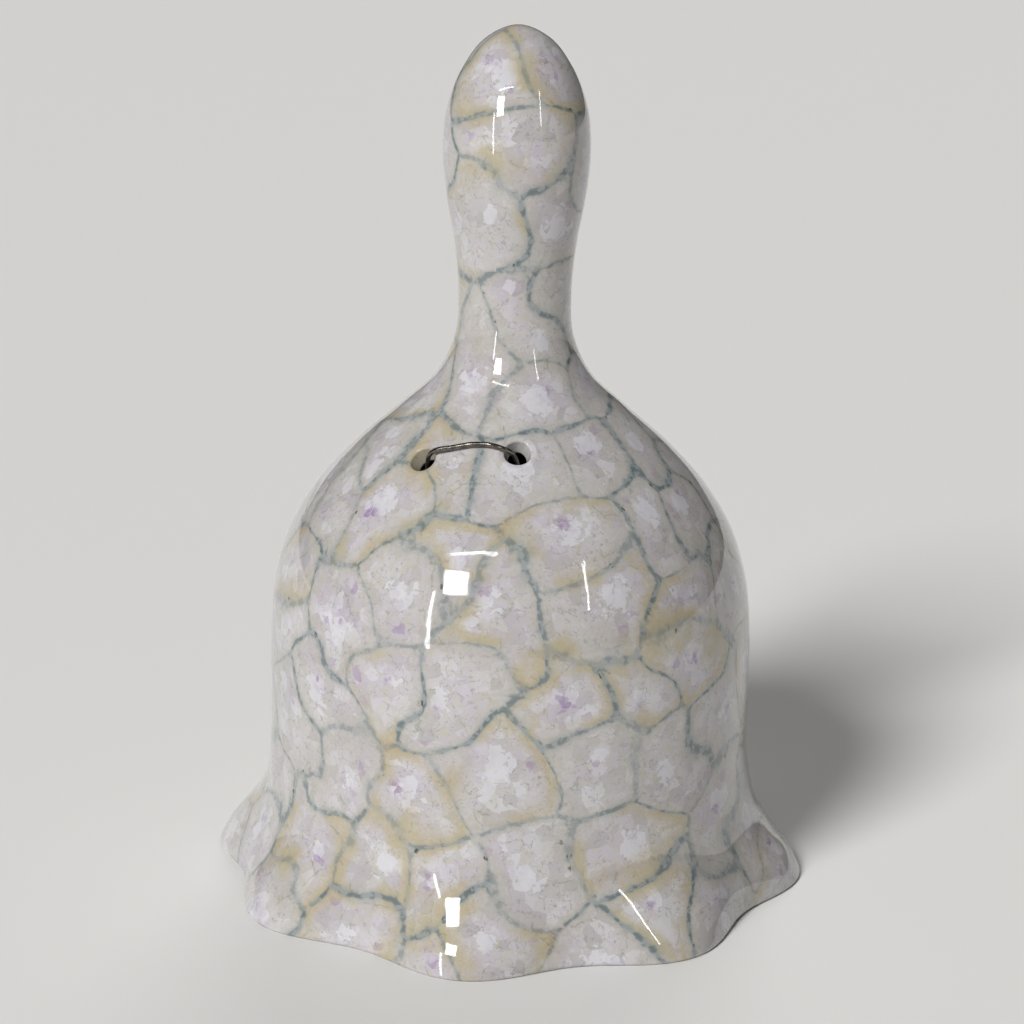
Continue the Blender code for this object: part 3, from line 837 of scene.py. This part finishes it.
def hole_axes(shell, hole):
    """A hole's centre on the outside, its normal, and the direction up the shoulder."""
    distance = shell.distance_at(hole[1])
    centre = shell.point(hole[0], distance, 0.0)
    normal = centre - shell.point(hole[0], distance, 1.0)
    uphill = shell.point(hole[0], distance + 0.5, 0.0) - shell.point(hole[0], distance - 0.5, 0.0)
    return centre, normal / np.linalg.norm(normal), uphill / np.linalg.norm(uphill)


def hole_bend(shell, hole, towards, shift):
    """The wire's bend through one hole: steps towards the other hole, uphill and outward, in millimetres."""
    centre, normal, uphill = hole_axes(shell, hole)
    towards = towards - normal * (towards @ normal)
    towards /= np.linalg.norm(towards)
    steps = np.array([
        (2.3, 0.0, 0.85), (1.2, -0.1, 0.25), (0.4, -0.4, -1.1), (-0.2, -0.9, -2.9), (-0.3, -1.8, -4.8),
    ])
    return centre + steps @ np.array([towards, uphill, normal]) + uphill * shift


def bridge(shell, sizes):
    """The wire over the shoulder from hole to hole, bowed uphill and held just off the glaze."""
    share = np.array([0.3, 0.5, 0.7])
    azimuth = LEFT_HOLE[0] + share * (RIGHT_HOLE[0] - LEFT_HOLE[0])
    bow = sizes.bridge_bow / MM * np.sin(np.pi * share)
    height = LEFT_HOLE[1] + share * (RIGHT_HOLE[1] - LEFT_HOLE[1]) + bow
    distance = np.interp(height, shell.outline[:, 1], shell.run)
    return shell.point(azimuth, distance, -0.8)


def hanger_path(shell, sizes):
    """Up a strand, out at the left hole, over the shoulder, in at the right hole, down, round the eye."""
    radius = sizes.eye_radius / MM
    twist_top, twist_end = np.array([-2.6, -10.5, 72.8]), np.array([-0.1, -3.4, 70.9])
    turns, leg_sag = 3.0, np.array([0.0, -0.4, -0.9])
    spread = sizes.twist_spread / MM
    left, right = hole_axes(shell, LEFT_HOLE)[0], hole_axes(shell, RIGHT_HOLE)[0]
    left_leg = hole_bend(shell, LEFT_HOLE, right - left, 0.5)
    right_leg = hole_bend(shell, RIGHT_HOLE, left - right, 0.0)
    outer = twisted_strand(twist_top, twist_end, spread, math.pi, turns - 0.5, turns)
    inner = twisted_strand(twist_top, twist_end, spread, 0.0, turns, turns)
    left_sag = 0.5 * (left_leg[-1:] + outer[:1]) + leg_sag
    right_sag = 0.5 * (right_leg[-1:] + inner[:1]) + leg_sag
    eye = ring_arc(HANGER_PIVOT + [0.0, 0.0, radius], radius, [0.0, 1.0, 0.0], 85.0, -312.0, 24)
    marks = np.vstack([
        outer[::-1], left_sag, left_leg[::-1], bridge(shell, sizes), right_leg, right_sag, inner, eye,
    ])
    return evenly(smooth_curve(marks, 10), 700)


def clapper_path(sizes):
    """A wrap round the stem, the top eye, the stem through the ball, and the foot eye under it."""
    radius, wire, foot_radius = sizes.eye_radius / MM, sizes.radius / MM, sizes.foot_eye_radius / MM
    eye_centre = np.array([0.0, 0.0, CLAPPER_BOX[1, 2] - wire - radius])
    wrap_top = eye_centre[2] - radius - 0.6
    turn = np.linspace(0.0, 3.0, 37)[:, None]
    angle = 2.0 * math.pi * turn + 0.5 * math.pi
    wrap = np.hstack([1.0 * np.cos(angle), 1.0 * np.sin(angle), wrap_top - 1.05 * turn])
    eye = ring_arc(eye_centre, radius, [0.0, 1.0, 0.0], -60.0, 300.0, 24)
    stem_end = BALL_CENTRE[2] - BALL_RADIUS
    stem = np.array([[0.0, 0.0, wrap_top - 0.4], [0.0, 0.0, wrap_top - 1.4], [0.0, 0.0, wrap_top - 12.0],
                     [0.0, 0.0, stem_end + 8.0], [0.0, 0.0, stem_end + 0.5], [0.0, 0.0, stem_end]])
    foot_centre = np.array([0.0, 0.0, CLAPPER_BOX[0, 2] + wire + foot_radius])
    foot = ring_arc(foot_centre, foot_radius, [0.0, 1.0, 0.0], 90.0, -310.0, 24)
    return evenly(smooth_curve(np.vstack([wrap[::-1], eye, stem, foot]), 10), 620)


def link_path(sizes):
    """The jump ring: almost a full circle, its two cut ends meeting at the side."""
    centre = 0.5 * (LINK_BOX[0] + LINK_BOX[1])
    radius = 0.5 * (LINK_BOX[1, 2] - LINK_BOX[0, 2]) - sizes.radius / MM
    return ring_arc(centre, radius, [1.0, 0.0, 0.0], 1.2, 357.6, 160)


def ball_section(sizes):
    """The bored ball's section, down the outside and up the bore, with eased edges at the bore."""
    bore = sizes.bore_radius / MM
    edge = math.asin((bore + 0.5) / BALL_RADIUS)
    angle = np.linspace(edge, math.pi - edge, 72)
    radius = BALL_RADIUS * np.sin(angle)
    height = BALL_CENTRE[2] + BALL_RADIUS * np.cos(angle)
    ease = np.linspace(0.0, 0.5 * math.pi, 8)[1:]
    eased = bore + 0.5 * (1.0 - np.sin(ease))
    drop = 0.55 * (1.0 - np.cos(ease))
    bore_rows = np.linspace(height[-1] + 0.8, height[0] - 0.8, 12)
    return (
        np.concatenate([radius, eased, bore + 0.0 * bore_rows, eased[::-1]]),
        np.concatenate([height, height[-1] + drop, bore_rows, height[0] - drop[::-1]]),
    )


# --- Operators --------------------------------------------------------------------------------------


class BELL_OT_glazed_shell(Operator):
    """Makes the cast shell with its fluted rim, hollow handle and two lipped holes"""

    bl_idname = "bell.glazed_shell"
    bl_label = "Glazed shell"

    def execute(self, context):
        scene = context.scene
        look = scene.bell_glaze
        surface = ShellSurface(scene.bell_shell)
        points, faces, depth = shell_mesh(surface)
        material = glaze_material("crackle glaze", look, crackle_glaze_group(look))
        centres = cell_centres(surface, look.cell / MM, SEED)
        fields = {**vein_fields(points, centres), **spot_fields(points, centres)}
        shell = add_surface("glazed_shell", points, faces, material, {"wall_depth": depth, **fields})
        stand_for(shell, "bell_shell", "bell")
        return {"FINISHED"}


class BELL_OT_hanger(Operator):
    """Makes the wire that bridges the two holes and carries the clapper"""

    bl_idname = "bell.hanger"
    bl_label = "Hanger wire"

    def execute(self, context):
        sizes = context.scene.bell_wires
        shell = ShellSurface(context.scene.bell_shell)
        points, faces, unrolled = wire_surface(hanger_path(shell, sizes), sizes.radius / MM)
        material = steel_material("hanger steel", (0.21, 0.19, 0.165), 0.4)
        hanger = add_surface("bridge_and_hanger", points, faces, material, {"wire_space": unrolled})
        stand_for(hanger, "hanger_wire", "hanger")
        return {"FINISHED"}


class BELL_OT_link(Operator):
    """Makes the jump ring between the hanger and the clapper"""

    bl_idname = "bell.link"
    bl_label = "Link ring"

    def execute(self, context):
        sizes = context.scene.bell_wires
        points, faces, unrolled = wire_surface(link_path(sizes), sizes.radius / MM)
        material = steel_material("link steel", (0.52, 0.51, 0.50), 0.6)
        link = add_surface("jump_ring", points, faces, material, {"wire_space": unrolled})
        stand_for(link, "link_ring", "link")
        return {"FINISHED"}


class BELL_OT_clapper(Operator):
    """Makes the clapper's stem with its wrapped eye and its foot eye"""

    bl_idname = "bell.clapper"
    bl_label = "Clapper wire"

    def execute(self, context):
        sizes = context.scene.bell_wires
        points, faces, unrolled = wire_surface(clapper_path(sizes), sizes.radius / MM)
        material = steel_material("clapper steel", (0.44, 0.43, 0.42), 0.5)
        clapper = add_surface("clapper_stem", points, faces, material, {"wire_space": unrolled})
        stand_for(clapper, "clapper_wire", "clapper")
        return {"FINISHED"}


class BELL_OT_ball(Operator):
    """Makes the bored ceramic ball"""

    bl_idname = "bell.ball"
    bl_label = "Clapper ball"

    def execute(self, context):
        scene = context.scene
        look = scene.bell_glaze
        radius, height = ball_section(scene.bell_wires)
        points, faces = turned_ring(radius, height, 96)
        material = glaze_material("ball glaze", look, bpy.data.node_groups["crackle glaze"])
        plain = np.zeros(len(points))
        fields = {
            "wall_depth": plain,
            "to_vein": np.tile([FAR, 0.0, 0.0], (len(points), 1)),
            "vein_distance": plain + FAR,
            "vein_traits": np.tile([0.0, 1.0, 0.0], (len(points), 1)),
            "window_depth": plain - FAR,
            "fleck_depth": plain - FAR,
        }
        ball = add_surface("glazed_ball", points, faces, material, fields)
        stand_for(ball, "clapper_ball", "ball")
        return {"FINISHED"}


def floor_surface(look):
    """A flat square grid at height 0, facing up."""
    across = np.linspace(-0.5, 0.5, 31) * look.floor_size / MM
    grid = np.stack(np.meshgrid(across, across, [0.0], indexing="xy"), -1).reshape(-1, 3)
    numbers = np.arange(len(grid)).reshape(len(across), -1)
    corners = [numbers[:-1, :-1], numbers[:-1, 1:], numbers[1:, 1:], numbers[1:, :-1]]
    return grid, [np.stack(corners, -1).reshape(-1, 4)]


def add_sun(name, azimuth, elevation, softness, strength):
    """Even light from far away that the glaze does not show; azimuth runs from the front to the right."""
    light = bpy.data.lights.new(name, "SUN")
    light.angle = math.radians(softness)
    light.energy = strength
    item = bpy.data.objects.new(name, light)
    azimuth, elevation = math.radians(azimuth), math.radians(elevation)
    level = math.cos(elevation)
    source = Vector((level * math.sin(azimuth), -level * math.cos(azimuth), math.sin(elevation)))
    item.rotation_euler = (-source).to_track_quat("-Z", "Y").to_euler()
    item.visible_glossy = False
    bpy.context.scene.collection.objects.link(item)


def add_lamp(name, place, target, size, strength, turn):
    """A rectangular lamp at a place in millimetres, facing a target, that shows only as a reflection.

    strength is its radiance; turn is its angle in its own plane, in degrees.
    """
    width, height = size
    light = bpy.data.lights.new(name, "AREA")
    light.shape = "RECTANGLE"
    light.size, light.size_y = width * MM, height * MM
    light.energy = strength * math.pi * width * height * MM * MM
    item = bpy.data.objects.new(name, light)
    item.location = Vector(place) * MM
    facing = (Vector(target) - Vector(place)).to_track_quat("-Z", "Y").to_matrix()
    item.rotation_euler = (facing @ Matrix.Rotation(math.radians(turn), 3, "Z")).to_euler()
    item.visible_diffuse = False
    bpy.context.scene.collection.objects.link(item)


def add_camera(look):
    """A long lens in front of the bell, looking down on it, rolled very slightly."""
    camera = bpy.data.cameras.new("camera")
    camera.lens = look.lens
    camera.clip_start = 0.01
    item = bpy.data.objects.new("camera", camera)
    forward = Vector((0.0, math.cos(look.pitch), -math.sin(look.pitch)))
    upright = Vector((0.0, math.sin(look.pitch), math.cos(look.pitch)))
    right = Vector((1.0, 0.0, 0.0))
    across = right * math.cos(look.roll) + upright * math.sin(look.roll)
    above = upright * math.cos(look.roll) - right * math.sin(look.roll)
    turned = Matrix((across, above, -forward)).transposed().to_4x4()
    place = Vector((0.0, 0.0, look.aim_height)) - forward * look.distance
    item.matrix_world = Matrix.Translation(place) @ turned
    bpy.context.scene.collection.objects.link(item)
    bpy.context.scene.camera = item


class BELL_OT_stage(Operator):
    """Makes the pale floor, the soft lights, the lamps that show in the glaze, and the camera"""

    bl_idname = "bell.stage"
    bl_label = "Stage"

    def execute(self, context):
        look = context.scene.bell_stage
        points, faces = floor_surface(look)
        add_surface("floor", points, faces, floor_material(look))
        aim = (0.0, 0.0, 85.0)
        add_sun("key", -35.0, 38.0, 18.0, look.key)
        add_sun("back", 170.0, 36.0, 30.0, look.back)
        add_lamp("window", (-178.0, -313.0, 295.0), aim, (80.0, 96.0), look.lamps, 8.5)
        add_lamp("top_lamp", (-98.0, -216.0, 321.0), aim, (127.0, 5.5), look.lamps, 13.0)
        add_lamp("left_lamp", (-299.0, -385.0, 176.0), aim, (12.0, 244.0), look.lamps, 5.4)
        add_lamp("right_lamp", (279.0, -333.0, 307.0), aim, (7.5, 224.0), look.lamps, -11.1)
        world = bpy.data.worlds.new("even light")
        world.use_nodes = True
        ground = world.node_tree.nodes["Background"]
        ground.inputs["Color"].default_value = (1.0, 0.97, 0.93, 1.0)
        ground.inputs["Strength"].default_value = look.fill
        context.scene.world = world
        context.scene.view_settings.view_transform = "Standard"
        add_camera(look)
        return {"FINISHED"}


PIECES = (BELL_OT_stage, BELL_OT_glazed_shell, BELL_OT_hanger, BELL_OT_link, BELL_OT_clapper, BELL_OT_ball)
SETTINGS = {
    "bell_shell": BellShellSizes, "bell_wires": WireSizes, "bell_glaze": GlazeLook, "bell_stage": StageLook,
}


class BELL_PT_sidebar(Panel):
    """Lists the bell's settings and the operators that make its pieces"""

    bl_idname = "BELL_PT_sidebar"
    bl_label = "Porcelain bell"
    bl_space_type = "VIEW_3D"
    bl_region_type = "UI"
    bl_category = "Bell"

    def draw(self, context):
        for name, kind in SETTINGS.items():
            box = self.layout.box()
            for label in kind.__annotations__:
                box.prop(getattr(context.scene, name), label)
        for piece in PIECES:
            self.layout.operator(piece.bl_idname)


def register():
    for kind in (*SETTINGS.values(), *PIECES, BELL_PT_sidebar):
        bpy.utils.register_class(kind)
    for name, kind in SETTINGS.items():
        setattr(bpy.types.Scene, name, PointerProperty(type=kind))


def unregister():
    for name in SETTINGS:
        delattr(bpy.types.Scene, name)
    for kind in (BELL_PT_sidebar, *PIECES[::-1], *SETTINGS.values()):
        bpy.utils.unregister_class(kind)


def main():
    register()
    for piece in PIECES:
        group, name = piece.bl_idname.split(".")
        getattr(getattr(bpy.ops, group), name)()


if __name__ == "__main__":
    main()
